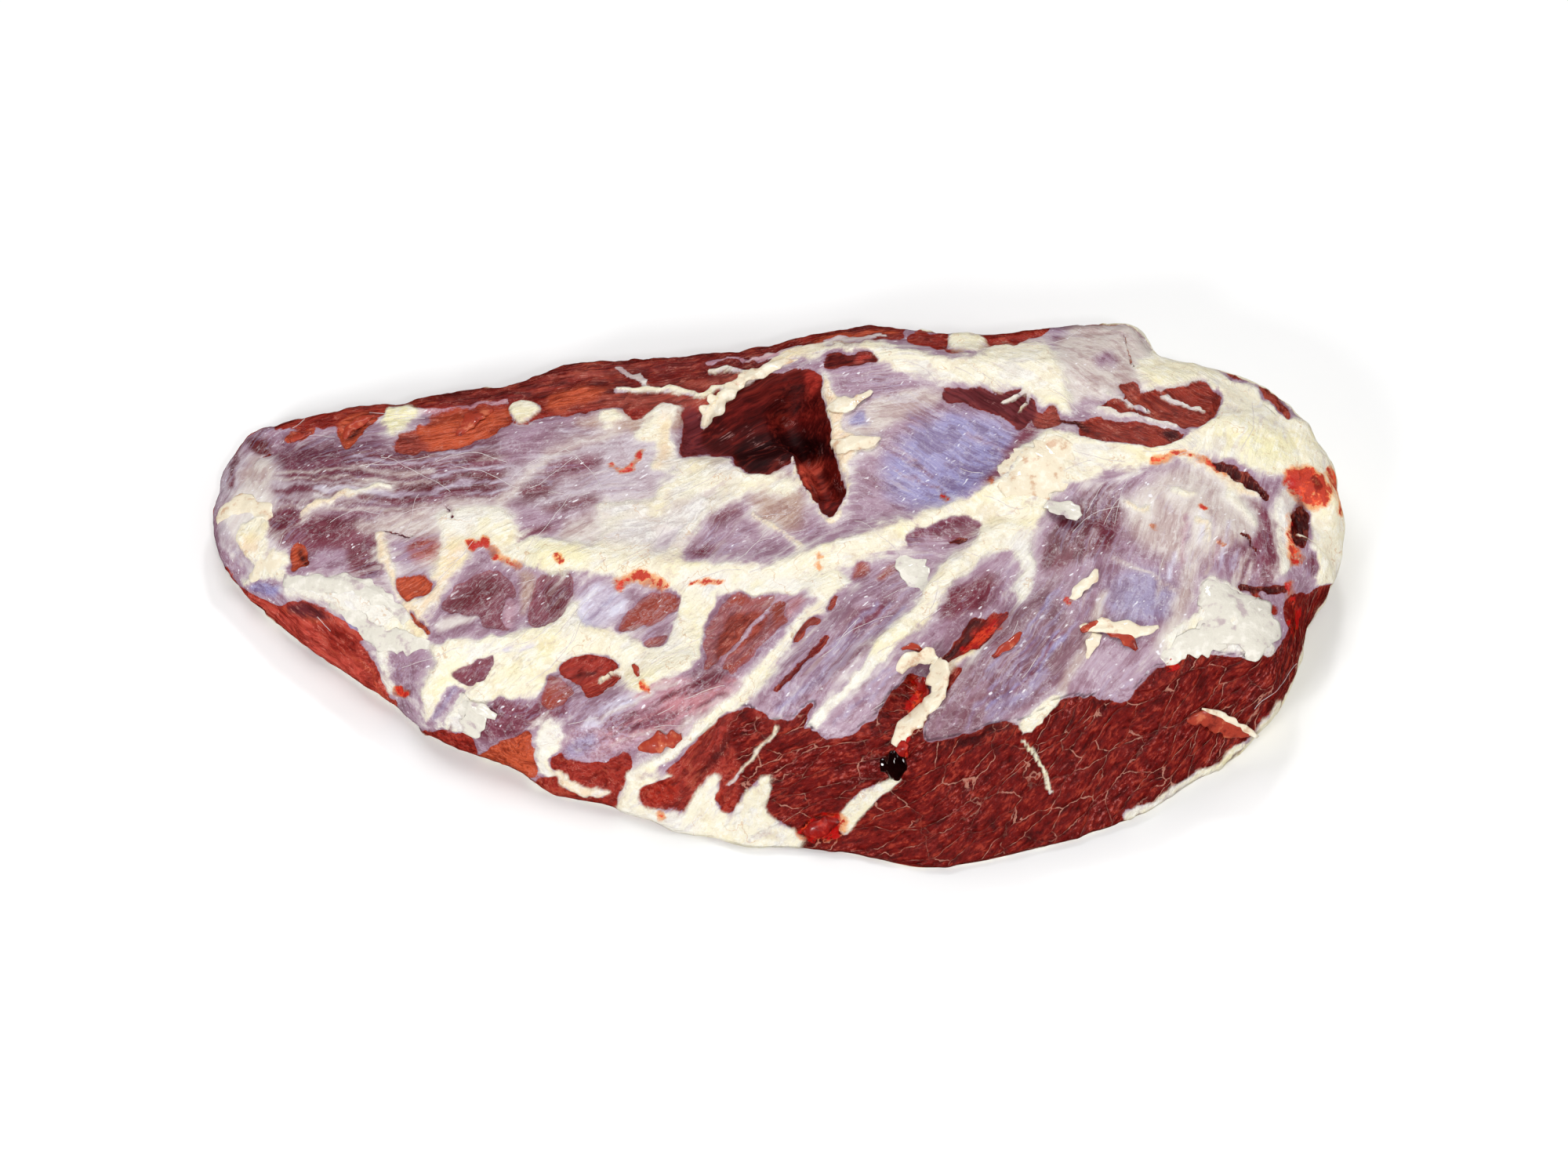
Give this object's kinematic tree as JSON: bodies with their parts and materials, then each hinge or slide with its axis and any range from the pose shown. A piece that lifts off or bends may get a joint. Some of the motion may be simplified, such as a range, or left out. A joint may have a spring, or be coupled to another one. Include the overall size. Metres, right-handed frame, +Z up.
{
  "type": "boneless beef short rib slab",
  "caption": "Whole boned-out beef short rib slab, rib side up, with silverskin over fingers of meat, fat seams and a slanting cut face.",
  "frame": {"origin": "under the middle of the slab, on the surface that it lies on", "axes": "+X along the slab towards its thick end, +Y from the cut front edge to the back edge, +Z up"},
  "size_m": [0.6406, 0.355, 0.0833],
  "materials": {
    "raw_beef": "moist raw beef: dark red muscle, blue-grey silverskin and cream fat, with a wet gloss",
    "beef_fat": "soft cream beef fat with a faint wet gloss",
    "blood": "dark, wet and glossy"
  },
  "bodies": {
    "root": {"short_rib_slab": "raw_beef"}
  },
  "joints": []
}
